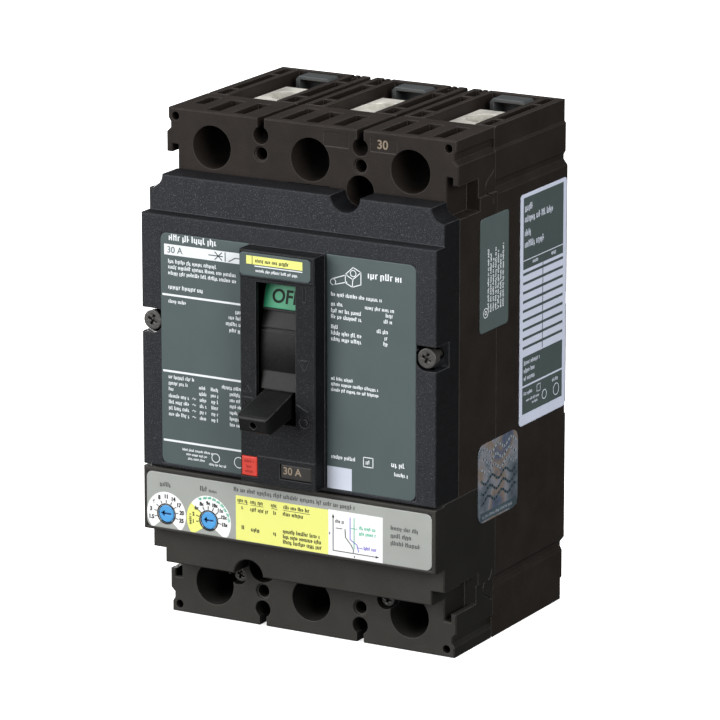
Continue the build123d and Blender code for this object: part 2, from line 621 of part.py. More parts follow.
def build_handle():
    """Toggle with its curved shutter. The shutter has a seat for the state flag near each end."""
    x0, x1 = WINDOW[0] + 0.25, WINDOW[1] - 0.25
    shutter = arc_band(BARREL_R - 2.4, BARREL_R, REST - 33.0, REST + 33.0, (x0, x1))
    root = arc_band(BARREL_R - 7.0, BARREL_R - 2.4, REST - 9.0, REST + 9.0, (HANDLE_X - 5.4, HANDLE_X + 5.4))
    seats = []
    for low, high in ((24.6, 32.9), (-32.9, -24.6)):
        seat = (x0 + 0.2, x1 - 0.2)
        seats.append(arc_band(BARREL_R - 0.5, BARREL_R + 0.2, REST + low, REST + high, seat))
    with BuildPart() as handle:
        add(shutter)
        add(root)
        # a lever that grows flatter and wider towards its rounded tip
        with BuildSketch(lever_plane(BARREL_R - 3)):
            Rectangle(9.8, 7.8)
        with BuildSketch(lever_plane(TIP_R)):
            with Locations((-0.4, 0)):
                Rectangle(11.0, 5.6)
        loft()
        tip = handle.faces().sort_by(Axis.Y)[0]
        fillet(tip.edges(), 1.3)
        for seat in seats:
            add(seat, mode=Mode.SUBTRACT)
        # beside each flag a facet ends in a groove, and a ramp rises to the lever's root
        for side in (1, -1):
            near, far = sorted((REST + side * 18.7, REST + side * 19.5))
            add(arc_band(BARREL_R - 0.5, BARREL_R + 0.2, near, far, (x0 - 1, x1 + 1)), mode=Mode.SUBTRACT)
            with BuildSketch(side_plane(x1 + 1)):
                with BuildLine():
                    begin, finish = REST + side * 19.9, REST + side * 24.2
                    Polyline(polar(PIVOT, BARREL_R, begin), polar(PIVOT, BARREL_R - 1.2, finish),
                             polar(PIVOT, BARREL_R + 2, finish), polar(PIVOT, BARREL_R + 2, begin), close=True)
                make_face()
            extrude(amount=x1 - x0 + 2, mode=Mode.SUBTRACT)
            with BuildSketch(side_plane(x1 - 0.4)):
                with BuildLine():
                    foot = polar(PIVOT, BARREL_R - 0.3, REST + side * 8.8)
                    crest = polar(PIVOT, BARREL_R + 1.8, REST + side * 3.4)
                    Polyline(foot, crest, polar(PIVOT, BARREL_R - 1.0, REST + side * 2.4), close=True)
                make_face()
            extrude(amount=x1 - x0 - 0.8)
        # blind hole in the tip
        with Locations(Location((HANDLE_X - 0.4, -polar(PIVOT, TIP_R, REST)[0], polar(PIVOT, TIP_R, REST)[1]),
                                (90 - REST, 0, 0))):
            Cylinder(1.15, 8.0, mode=Mode.SUBTRACT)
    return handle.part


def state_flag(low, high):
    """A coloured strip let into the shutter, between two angles from the handle."""
    x = (WINDOW[0] + 0.5, WINDOW[1] - 0.5)
    return arc_band(BARREL_R - 0.45, BARREL_R, REST + low, REST + high, x)


def build_yoke():
    """Steel U-shaped yoke: two arms from the pivot to a bridge behind the handle's root."""
    reach = BARREL_R - 9.0
    pin = polar(PIVOT, CRANK, REST)
    with BuildPart() as yoke:
        for side in (-1, 1):
            with BuildSketch(side_plane(side * 8.6 if side < 0 else 10.1)) as arm:
                SlotCenterToCenter(reach - 4, 8.0, rotation=REST)
            middle = polar(PIVOT, (reach - 4) / 2, REST)
            extrude(arm.sketch.moved(Location((0, -middle[0], middle[1]))), amount=1.5)
            rod(PIVOT, 2.2, (side * 10.0, side * 13.7))
            rod(pin, 1.5, (side * 10.0, side * 12.0))
        add(arc_band(reach - 2.0, reach, REST - 3.0, REST + 3.0, (-10.1, 10.1)))
        add(arc_band(reach - 0.2, BARREL_R - 7.0, REST - 2.0, REST + 2.0, (HANDLE_X - 4, HANDLE_X + 4)))
    return yoke.part


def build_links():
    """The two links that carry the yoke's motion to the contact shaft. They stay parallel."""
    top, bottom = polar(PIVOT, CRANK, REST), polar(SHAFT, CRANK, REST)
    run, drop = bottom[0] - top[0], bottom[1] - top[1]
    length = (run**2 + drop**2) ** 0.5
    with BuildPart() as links:
        for side in (-1, 1):
            x = (side * 10.35, side * 11.85)
            for place in (top, bottom):
                rod(place, 2.7, x)
            middle = (sum(x) / 2, -(top[0] + bottom[0]) / 2, (top[1] + bottom[1]) / 2)
            lean = -atan2_degrees(run, drop)
            with Locations(Location(middle, (lean, 0, 0))):
                Box(1.5, 3.6, length)
            for place in (top, bottom):
                rod(place, 1.56, (side * 9, side * 13), Mode.SUBTRACT)
    return links.part


def atan2_degrees(run, drop):
    """Turn about X that lays a Z-long bar along (depth, z) = (run, drop)."""
    return degrees(atan2(-run, drop))


def build_frame():
    """Two steel side plates with bearings for the handle, the shaft and the trip bar, and two spacers."""
    with BuildPart() as frame:
        for side in (-1, 1):
            x = (side * 12.4, side * 13.9)
            with BuildSketch(side_plane(max(x))):
                with BuildLine():
                    back = [(16.0, 22.0), (16.0, 6.0), (20.0, -12.0), (56.0, -19.0)]
                    Polyline(*back, (67.0, -19.0), (67.0, 10.0), (44.0, 30.0), (24.0, 30.0), close=True)
                make_face()
            extrude(amount=1.5)
            rod(PIVOT, 2.26, (side * 12, side * 15), Mode.SUBTRACT)
            rod(SHAFT, SHAFT_R + 0.1, (side * 12, side * 15), Mode.SUBTRACT)
            rod(TRIP_BAR, 2.06, (side * 12, side * 15), Mode.SUBTRACT)
        for spacer in ((44.5, 26.5), (60.0, -3.0)):
            rod(spacer, 1.8, (-12.5, 12.5))
    return frame.part


def coil_spring(start, end, radius, wire, turns):
    """An open helix from one point to another, given in row coordinates."""
    axis = Vector(*end) - Vector(*start)
    with BuildPart() as spring:
        with BuildLine():
            pitch = axis.length / turns
            path = Helix(pitch, axis.length, radius, center=start, direction=axis.normalized())
        with BuildSketch(Plane(origin=path @ 0, z_dir=path % 0)):
            Circle(wire)
        sweep(path=path)
    return spring.part


def build_main_springs():
    """Two tension springs strung between the frame's spacers."""
    with BuildPart() as springs:
        for x in (-5.0, 5.0):
            add(coil_spring((x, -58.0, 0.9), (x, -46.3, 22.9), 2.2, 0.45, 9))
    return springs.part


def build_trip_bar():
    with BuildPart() as bar:
        rod(TRIP_BAR, 2.0, (-34.0, 34.0))
        tip_z = TRIP_BAR[1] - PADDLE - 2.0
        block((-11.6, -8.5), (TRIP_BAR[0] - 1.0, TRIP_BAR[0] + 1.0), (tip_z, TRIP_BAR[1]))
        block((18.0, 22.0), (TRIP_BAR[0] - 1.0, TRIP_BAR[0] + 1.0), (TRIP_BAR[1] - 8.0, TRIP_BAR[1]))
    return bar.part


def build_trip_button():
    """Red button with a stem down to the trip bar's paddle."""
    with BuildPart() as button:
        block((-12.75, -7.35), (FACE - 3.0, BOSS - 0.15), (-26.3, -20.1))
        chamfer(edges_on(button, BOSS - 0.15), 0.25)
        block((-11.0, -9.1), (TRIP_BAR[0] + 1.3, FACE - 3.0), (-24.4, -22.0))
    return button.part


# ---- trip unit internals ------------------------------------------------------------------------------
def setting_dial(x):
    """Adjusting dial with a rim, an arrow-shaped screwdriver slot and a spindle to its switch."""
    top = FACE + 0.1
    with BuildPart() as dial:
        bore(x, DIAL_Z, DIAL_R, (FACE - 2.6, top), Mode.ADD)
        chamfer(edges_on(dial, top), 0.3)
        bore(x, DIAL_Z, 1.2, (75.0, FACE - 2.6), Mode.ADD)
        block((x - 1.7, x + 1.7), (top - 0.7, top + 1), (DIAL_Z - 0.3, DIAL_Z + 0.3), Mode.SUBTRACT)
        with BuildSketch(front(top)):
            with BuildLine():
                Polyline((x - 2.1, DIAL_Z), (x - 0.7, DIAL_Z + 1.1), (x - 0.7, DIAL_Z - 1.1), close=True)
            make_face()
        extrude(amount=-0.7, mode=Mode.SUBTRACT)
    return dial.part


def rotary_switches():
    with BuildPart() as switches:
        for x in DIALS:
            block((x - 4.2, x + 4.2), (73.7, 77.1), (DIAL_Z - 3.6, DIAL_Z + 4.2))
            bore(x, DIAL_Z, 1.26, (74.6, 78.0))
    return switches.part


def circuit_board():
    with BuildPart() as board:
        block((-47.5, 47.5), (72.1, 73.6), (-48.5, -38.0))
        for x in (-12.0, 6.0, 22.0):
            block((x, x + 9.0), (73.6, 75.0), (-46.0, -40.0))
    return board.part


def current_transformers():
    """A wound core round each load strap."""
    with BuildPart() as cores:
        for x in POLES:
            block((x - 8.0, x + 8.0), (20.0, 34.0), (-51.8, -43.6))
            block((x - 5.3, x + 5.3), (19.0, 35.0), (-50.8, -47.5), Mode.SUBTRACT)
    return cores.part


def trip_solenoid():
    with BuildPart() as coil:
        with Locations((PLUNGER[0], -PLUNGER[1], -44.0)):
            Cylinder(6.0, 16.0)
        with Locations((PLUNGER[0], -PLUNGER[1], -30.6)):
            Cylinder(1.5, 11.6)
    return coil.part


# ---- export -------------------------------------------------------------------------------------------
def main():
    os.makedirs("parts", exist_ok=True)
    save(build_base(), "base")
    save(build_mid_cover(), "mid_cover")
    save(build_accessory_cover(), "accessory_cover")
    save(build_trip_unit(), "trip_unit_case")

    save(nameplate(-1), "nameplate_left")
    save(nameplate(1), "nameplate_right")
    save(flat_plate((-12.9, 11.9), (37.3, 44.5), BOSS - LABEL, LABEL + 0.15, 1.3), "escutcheon_plate")
    save(setting_label(), "setting_label")
    save(side_label((1.2, 32.3), (-17.0, 57.0), 1.4), "side_record_label")
    save(side_label((40.1, 58.7), (18.7, 54.7), 1.4), "side_rating_label")
    save(side_label((33.0, 59.2), (-41.9, -16.7), 3.6), "side_seal_sticker")
    save(rating_plug(), "rating_plug")

    cover_screw = dict(head_r=3.1, head=(FACE - 3.2, FACE - 0.5), shank_r=1.25, tip=62.0, recess_r=1.7)
    save(screw_group([(-48.4, 17.0), (48.4, 17.0)], **cover_screw), "accessory_cover_screws")
    unit_screw = dict(head_r=2.25, head=(66.5, 69.8), shank_r=1.4, tip=40.0, recess_r=1.3)
    save(screw_group([(-26.45, -66.5), (26.45, -66.5)], **unit_screw), "trip_unit_screws")
    case_screw = dict(head_r=3.0, head=(67.0, 70.5), shank_r=1.5, tip=30.0, recess_r=1.6)
    save(screw_group([(-BARRIER_X, 45.0), (BARRIER_X, 45.0)], **case_screw), "case_screws")

    for name, end in (("line", 1), ("load", -1)):
        for number, x in enumerate(POLES, 1):
            save(lug(x, end), f"{name}_lug_{number}")
        save(lug_screws(end), f"{name}_lug_screws")
        save(terminal_clips(end), f"{name}_terminal_clips")
    for number, x in enumerate(POLES, 1):
        save(line_terminal(x), f"line_terminal_{number}")
        save(load_terminal(x), f"load_terminal_{number}")
        save(arc_chute(x, 21.5, 47.0), f"upper_arc_chute_{number}")
        save(arc_chute(x, -42.0, -27.0), f"lower_arc_chute_{number}")
        save(moving_contact(x), f"moving_contact_{number}")
    save(build_contact_shaft(), "contact_shaft")

    save(build_handle(), "toggle_handle")
    save(state_flag(24.8, 32.7), "off_flag")
    save(state_flag(-32.7, -24.8), "on_flag")
    save(build_yoke(), "handle_yoke")
    save(build_links(), "drive_links")
    save(build_frame(), "mechanism_frame")
    save(build_main_springs(), "main_springs")
    save(build_trip_bar(), "trip_bar")
    save(build_trip_button(), "trip_button")
    spring = coil_spring((BUTTON_X, -71.3, BUTTON_Z), (BUTTON_X, -(FACE - 3.3), BUTTON_Z), 2.0, 0.25, 6)
    save(spring, "trip_button_spring")

    save(setting_dial(DIALS[0]), "current_setting_dial")
    save(setting_dial(DIALS[1]), "magnetic_setting_dial")
    save(rotary_switches(), "rotary_switches")
    save(circuit_board(), "circuit_board")
    save(current_transformers(), "current_transformers")
    save(trip_solenoid(), "trip_solenoid")


main()
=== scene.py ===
import bpy
import json
import math
import random
from mathutils import Matrix, Vector


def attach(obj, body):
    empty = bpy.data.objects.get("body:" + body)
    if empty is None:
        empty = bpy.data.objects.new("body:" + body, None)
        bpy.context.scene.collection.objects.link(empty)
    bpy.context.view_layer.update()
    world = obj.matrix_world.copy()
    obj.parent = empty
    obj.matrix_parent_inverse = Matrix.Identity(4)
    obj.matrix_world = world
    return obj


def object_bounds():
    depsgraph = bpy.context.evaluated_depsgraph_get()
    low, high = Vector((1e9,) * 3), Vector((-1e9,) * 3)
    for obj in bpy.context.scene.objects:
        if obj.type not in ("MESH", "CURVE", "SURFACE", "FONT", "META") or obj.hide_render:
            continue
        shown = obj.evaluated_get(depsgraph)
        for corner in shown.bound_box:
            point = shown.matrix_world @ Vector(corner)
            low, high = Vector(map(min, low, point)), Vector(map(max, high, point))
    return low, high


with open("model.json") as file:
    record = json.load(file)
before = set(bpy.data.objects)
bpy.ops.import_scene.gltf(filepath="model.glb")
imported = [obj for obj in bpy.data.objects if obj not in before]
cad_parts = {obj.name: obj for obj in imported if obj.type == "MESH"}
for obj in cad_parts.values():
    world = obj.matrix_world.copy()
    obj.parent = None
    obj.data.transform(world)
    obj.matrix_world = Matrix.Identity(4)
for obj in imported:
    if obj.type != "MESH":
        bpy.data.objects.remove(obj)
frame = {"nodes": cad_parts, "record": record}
cad_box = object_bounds()
NODES = frame["nodes"]
MM = 0.001                    # metres in a millimetre
WHITE = (1, 1, 1, 1)

# ---- camera and light ---------------------------------------------------------------------------------
CAMERA_PLACE = (0.7862, -1.4396, 0.4235)
CAMERA_SIGHT = (-0.4737, 0.8430, -0.2552)
CAMERA_LENS, CAMERA_SENSOR = 264.55, 36
WORLD_SEEN, WORLD_LIGHTING = 1.0, 0.10    # the studio looks white and lights the object only a little


def aim(direction):
    """The rotation that looks along a direction with its up side up."""
    return Vector(direction).to_track_quat("-Z", "Y").to_euler()


scene = bpy.context.scene
camera = bpy.data.objects.new("camera", bpy.data.cameras.new("camera"))
scene.collection.objects.link(camera)
camera.location = CAMERA_PLACE
camera.rotation_euler = aim(CAMERA_SIGHT)
camera.data.sensor_width = CAMERA_SENSOR
camera.data.lens = CAMERA_LENS
camera.data.clip_start = 0.1
scene.camera = camera
scene.view_settings.view_transform = "Standard"
scene.view_settings.look = "None"

world = bpy.data.worlds.new("studio")
scene.world = world
world.use_nodes = True
sky = world.node_tree
sky.nodes["Background"].inputs["Color"].default_value = WHITE
sight = sky.nodes.new("ShaderNodeLightPath")
level = sky.nodes.new("ShaderNodeMapRange")
level.inputs["To Min"].default_value, level.inputs["To Max"].default_value = WORLD_LIGHTING, WORLD_SEEN
sky.links.new(sight.outputs["Is Camera Ray"], level.inputs["Value"])
sky.links.new(level.outputs["Result"], sky.nodes["Background"].inputs["Strength"])


def area_light(name, place, size, watts):
    """A soft box that points at the middle of the object and stays out of sight."""
    light = bpy.data.objects.new(name, bpy.data.lights.new(name, "AREA"))
    scene.collection.objects.link(light)
    light.data.shape = "RECTANGLE"
    light.data.size, light.data.size_y = size
    light.data.energy = watts
    light.location = place
    light.visible_camera = False
    light.rotation_euler = aim(-Vector(place))


area_light("key", (-0.75, -1.15, 0.35), (1.0, 1.2), 24.5)
area_light("right", (1.2, -0.6, 0.55), (0.9, 0.9), 18.5)
area_light("top", (0.0, 0.05, 1.2), (1.2, 0.9), 9.6)
area_light("back", (-0.7, 1.3, 0.0), (0.9, 0.12), 14)
area_light("left", (-1.4, 0.5, 0.25), (0.7, 0.7), 6)


# ---- materials ----------------------------------------------------------------------------------------
FRONT_FACE, BOSS_FACE = -0.0875, -0.0910    # Y between which the painted shade of the cover gives way to the painted shade of what stands out of it
EDGE_RADIUS = 0.00045                       # width of the rounded, worn edges
BUMP_HEIGHT = 0.0002
GLOSS_SPREAD = 0.09                         # roughness either side of its middle value
DRIFT_SCALE, HAZE_SCALE, GLINT_SPECK_SCALE = 77, 220, 3300
# colour of the painted glint specks
GLINT_SPECK_COLOUR = (0.22, 0.22, 0.23, 1)


def plastic(name, colour, rough, spread, grain, edge_wear_and_highlight, glint=0.0, metal=0.0,
            painted_side_shade=1.0, painted_top_shade=1.0, painted_boss_shade=1.0, sheen=0.35):
    """Moulded plastic or metal: slow colour drift, fine surface grain, uneven gloss and pale edges, partly
    worn and partly painted highlight.

    grain is the scale and strength of the surface texture, and glint how pale its painted glints are:
    specks that stand in for light sparkling off the surface.
    flank and crown are painted shade: how dark (above 1, how light) the sideways and upward faces are
    coloured beside the front, standing in for how the light falls on them;
    boss is the same painted shade for what stands out further than the cover's face.
    """
    mat = bpy.data.materials.new(name)
    mat.use_nodes = True
    tree = mat.node_tree
    bsdf = tree.nodes["Principled BSDF"]

    def node(kind, **inputs):
        made = tree.nodes.new(kind)
        for key, value in inputs.items():
            made.inputs[key.replace("_", " ")].default_value = value
        return made

    def link(a, b):
        tree.links.new(a, b)

    def map_range(source, low, high, new_low, new_high):
        made = node("ShaderNodeMapRange", From_Min=low, From_Max=high, To_Min=new_low, To_Max=new_high)
        link(source, made.inputs["Value"])
        return made.outputs["Result"]

    def mix(first, second, amount=1.0, blend="MIX"):
        """first and second are colours or outputs, and so is the amount."""
        made = node("ShaderNodeMix")
        made.data_type, made.blend_type = "RGBA", blend
        for socket, value in ((made.inputs[0], amount), (made.inputs[6], first), (made.inputs[7], second)):
            if isinstance(value, bpy.types.NodeSocket):
                link(value, socket)
            else:
                socket.default_value = value
        return made.outputs[2]

    def maths(operation, first, second=0.5):
        """first is an output; second is an output or a number, and ABSOLUTE leaves it out."""
        made = node("ShaderNodeMath")
        made.operation = operation
        link(first, made.inputs[0])
        if isinstance(second, bpy.types.NodeSocket):
            link(second, made.inputs[1])
        else:
            made.inputs[1].default_value = second
        return made.outputs[0]

    def parts_of(vector):
        made = node("ShaderNodeSeparateXYZ")
        link(vector, made.inputs[0])
        return made.outputs

    def noise(scale, detail, roughness):
        made = node("ShaderNodeTexNoise", Scale=scale, Detail=detail, Roughness=roughness)
        link(place, made.inputs["Vector"])
        return made.outputs["Fac"]

    place = node("ShaderNodeTexCoord").outputs["Object"]
    drift = noise(DRIFT_SCALE, 5.0, 0.6)
    fine = noise(grain[0], 3.0, 0.65)
    haze = noise(HAZE_SCALE, 6.0, 0.7)

    out = mix((*colour, 1), map_range(drift, 0.3, 0.7, 1 - spread, 1 + spread), blend="MULTIPLY")
    if glint:
        # painted glints: pale specks standing in for light sparkling off the textured surface
        out = mix(out, GLINT_SPECK_COLOUR, map_range(noise(GLINT_SPECK_SCALE, 2.0, 0.5), 0.58, 0.72, 0.0, glint))
    # painted shade: sideways faces, upward faces and what stands out past the cover's face are coloured
    # darker or lighter to stand in for how the light falls on them
    if painted_side_shade != 1.0:
        facing = parts_of(node("ShaderNodeNewGeometry").outputs["True Normal"])
        sideways = maths("ABSOLUTE", facing["X"])
        depth = parts_of(place)["Y"]
        for source, low, high, dark in ((sideways, 0, 1, painted_side_shade), (facing["Z"], 0.6, 0.95, painted_top_shade),
                                        (depth, FRONT_FACE, BOSS_FACE, painted_boss_shade)):
            out = mix(out, map_range(source, low, high, 1.0, dark), blend="MULTIPLY")
    if edge_wear_and_highlight:
        # edges are where a rounded normal leaves the true one; they are coloured pale, partly as worn edges
        # and partly as painted edge highlight
        bevel = node("ShaderNodeBevel", Radius=EDGE_RADIUS)
        bevel.samples = 6
        dot = node("ShaderNodeVectorMath")
        dot.operation = "DOT_PRODUCT"
        link(bevel.outputs["Normal"], dot.inputs[0])
        link(node("ShaderNodeNewGeometry").outputs["Normal"], dot.inputs[1])
        patchy = maths("MULTIPLY", map_range(dot.outputs["Value"], 0.995, 0.80, 0.0, 1.0), haze)
        pale = (*(min(1.0, c * 2.0 + 0.10) for c in colour), 1)
        out = mix(out, pale, maths("MULTIPLY", patchy, edge_wear_and_highlight))
    link(out, bsdf.inputs["Base Color"])

    link(map_range(haze, 0.0, 1.0, rough - GLOSS_SPREAD, rough + GLOSS_SPREAD), bsdf.inputs["Roughness"])
    bump = node("ShaderNodeBump", Strength=grain[1], Distance=BUMP_HEIGHT)
    link(fine, bump.inputs["Height"])
    if edge_wear_and_highlight:
        link(bevel.outputs["Normal"], bump.inputs["Normal"])
    link(bump.outputs["Normal"], bsdf.inputs["Normal"])
    bsdf.inputs["Metallic"].default_value = metal
    bsdf.inputs["Specular IOR Level"].default_value = 0.5 if metal else sheen
    return mat


# what each material slot looks like: colour, roughness, colour spread, grain, pale edges (worn and painted
# highlight) and the rest
LOOKS = {
    "case_brown": plastic("case_brown", (0.0215, 0.0168, 0.0142), 0.50, 0.22, (2300, 0.35), 0.85, 0.05,
                          painted_side_shade=0.78, painted_top_shade=1.15, sheen=0.10),
    "cover_black": plastic("cover_black", (0.0205, 0.0218, 0.0255), 0.42, 0.10, (2900, 0.60), 1.0, 0.40,
                           painted_side_shade=0.22, painted_top_shade=0.45, painted_boss_shade=0.52, sheen=0.12),
    "unit_brown": plastic("unit_brown", (0.035, 0.0330, 0.0295), 0.50, 0.14, (2300, 0.30), 0.6, 0.05,
                          painted_side_shade=0.30, sheen=0.18),
    "plate_slate": plastic("plate_slate", (0.080, 0.105, 0.106), 0.42, 0.05, (3400, 0.12), 0.45, sheen=0.2),
    "plate_black": plastic("plate_black", (0.020, 0.019, 0.017), 0.42, 0.10, (3000, 0.2), 0.6),
    "label_grey": plastic("label_grey", (0.368, 0.384, 0.362), 0.40, 0.05, (3000, 0.10), 0.2, sheen=0.2),
    "label_lavender": plastic("label_lavender", (0.60, 0.65, 0.78), 0.42, 0.04, (3000, 0.08), 0.1),
    "label_greygreen": plastic("label_greygreen", (0.075, 0.102, 0.100), 0.45, 0.06, (3000, 0.10), 0.2),
    "steel_dark": plastic("steel_dark", (0.055, 0.053, 0.050), 0.34, 0.25, (1500, 0.35), 0.9, metal=0.5),
    "steel_zinc": plastic("steel_zinc", (0.60, 0.59, 0.56), 0.33, 0.18, (1800, 0.25), 0.3, metal=0.7),
    "steel_spring": plastic("steel_spring", (0.45, 0.45, 0.46), 0.30, 0.15, (2500, 0.2), 0.2, metal=0.7),
    "lug_aluminium": plastic("lug_aluminium", (0.80, 0.78, 0.71), 0.34, 0.40, (900, 0.8), 0.3, metal=0.2),
    "copper": plastic("copper", (0.78, 0.45, 0.30), 0.32, 0.15, (2000, 0.25), 0.3, metal=0.7),
    "clip_grey": plastic("clip_grey", (0.062, 0.068, 0.070), 0.40, 0.12, (2400, 0.25), 0.6),
    "chute_grey": plastic("chute_grey", (0.32, 0.29, 0.25), 0.6, 0.15, (1800, 0.4), 0.2),
    "rotor_grey": plastic("rotor_grey", (0.06, 0.06, 0.06), 0.5, 0.12, (2000, 0.3), 0.3),
    "handle_black": plastic("handle_black", (0.0066, 0.0070, 0.0067), 0.28, 0.12, (2600, 0.22), 1.0,
                            painted_side_shade=0.40, painted_boss_shade=1.9, sheen=0.12),
    "flag_green": plastic("flag_green", (0.022, 0.270, 0.130), 0.42, 0.08, (2600, 0.15), 0.2),
    "flag_red": plastic("flag_red", (0.60, 0.045, 0.030), 0.42, 0.08, (2600, 0.15), 0.2),
    "button_red": plastic("button_red", (0.58, 0.048, 0.032), 0.40, 0.08, (2600, 0.22), 0.3),
    "dial_blue": plastic("dial_blue", (0.082, 0.340, 0.70), 0.35, 0.08, (2600, 0.15), 0.3),
    "switch_black": plastic("switch_black", (0.04, 0.04, 0.04), 0.45, 0.1, (2400, 0.2), 0.3),
    "board_green": plastic("board_green", (0.04, 0.20, 0.09), 0.35, 0.1, (2400, 0.2), 0.2),
    "coil_dark": plastic("coil_dark", (0.10, 0.08, 0.06), 0.5, 0.15, (1500, 0.4), 0.2),
}

# inks lie flat, so they have no pale worn or painted-highlight edges
INK = {
    "white": plastic("ink_white", (0.82, 0.86, 0.88), 0.45, 0.06, (3000, 0.05), 0),
    "black": plastic("ink_black", (0.016, 0.016, 0.018), 0.45, 0.10, (3000, 0.05), 0),
    "grey": plastic("ink_grey", (0.085, 0.090, 0.088), 0.45, 0.08, (3000, 0.05), 0),
    "yellow": plastic("ink_yellow", (0.84, 0.85, 0.23), 0.42, 0.03, (3000, 0.05), 0),
    "paper": plastic("ink_paper", (0.92, 0.93, 0.93), 0.42, 0.02, (3000, 0.05), 0),
    "navy": plastic("ink_navy", (0.008, 0.030, 0.13), 0.40, 0.10, (3000, 0.05), 0),
    "violet": plastic("ink_violet", (0.17, 0.13, 0.62), 0.45, 0.08, (3000, 0.05), 0),
    "mint": plastic("ink_mint", (0.06, 0.50, 0.30), 0.45, 0.08, (3000, 0.05), 0),
    "beige": plastic("ink_beige", (0.25, 0.195, 0.140), 0.50, 0.15, (3000, 0.10), 0),
    "slate": plastic("ink_slate", (0.060, 0.083, 0.081), 0.45, 0.06, (3000, 0.05), 0),
    "lavender": plastic("ink_lavender", (0.60, 0.64, 0.74), 0.42, 0.04, (3000, 0.05), 0),
    "red_dark": plastic("ink_red_dark", (0.30, 0.016, 0.012), 0.45, 0.10, (3000, 0.05), 0),
    "green_dark": plastic("ink_green_dark", (0.002, 0.012, 0.006), 0.45, 0.10, (3000, 0.05), 0, sheen=0.1),
    "silver": plastic("ink_silver", (0.22, 0.25, 0.28), 0.40, 0.30, (2600, 0.10), 0),
    "petrol": plastic("ink_petrol", (0.045, 0.070, 0.085), 0.40, 0.30, (2600, 0.10), 0),
}


def foil():
    """Holographic-look film: silver with slow bands of colour."""
    mat = plastic("sticker_foil", (0.16, 0.20, 0.22), 0.30, 0.1, (2500, 0.12), 0.2, metal=0.3)
    tree = mat.node_tree
    bsdf = tree.nodes["Principled BSDF"]
    place = tree.nodes.new("ShaderNodeTexCoord").outputs["Object"]
    wave = tree.nodes.new("ShaderNodeTexNoise")
    wave.inputs["Scale"].default_value, wave.inputs["Detail"].default_value = 75, 3
    tree.links.new(place, wave.inputs["Vector"])
    ramp = tree.nodes.new("ShaderNodeValToRGB")
    stops = [(0.30, (0.04, 0.05, 0.07)), (0.42, (0.13, 0.16, 0.19)), (0.50, (0.26, 0.27, 0.31)),
             (0.57, (0.24, 0.19, 0.15)), (0.66, (0.10, 0.13, 0.20)), (0.78, (0.04, 0.05, 0.06))]
    for element, (position, colour) in zip(ramp.color_ramp.elements, (stops[0], stops[-1])):
        element.position, element.color = position, (*colour, 1)
    for position, colour in stops[1:-1]:
        ramp.color_ramp.elements.new(position).color = (*colour, 1)
    tree.links.new(wave.outputs["Fac"], ramp.inputs["Fac"])
    tree.links.new(ramp.outputs["Color"], bsdf.inputs["Base Color"])
    return mat


LOOKS["sticker_foil"] = foil()
SLOT_OF = {entry["node"]: entry["material_slot"] for entry in frame["record"]["subparts"]}
for name, node in NODES.items():
    node.data.materials.clear()
    node.data.materials.append(LOOKS[SLOT_OF[name]])
# the plate over the window is slate like the nameplates beside it
NODES["escutcheon_plate"].data.materials[0] = LOOKS["plate_slate"]


# ---- printing -----------------------------------------------------------------------------------------
INK_RISE, LAYER_STEP, FILM = 0.03, 0.05, 0.03    # mm: first layer over the surface, next layers, thickness


def front(u, v, depth):
    """Across and up on a surface that faces the viewer, at a depth from the panel."""
    return (u, -depth, v)


def side(u, v, depth):
    """Along the depth and up on the right-hand side, at a distance from the middle."""
    return (depth, u, v)


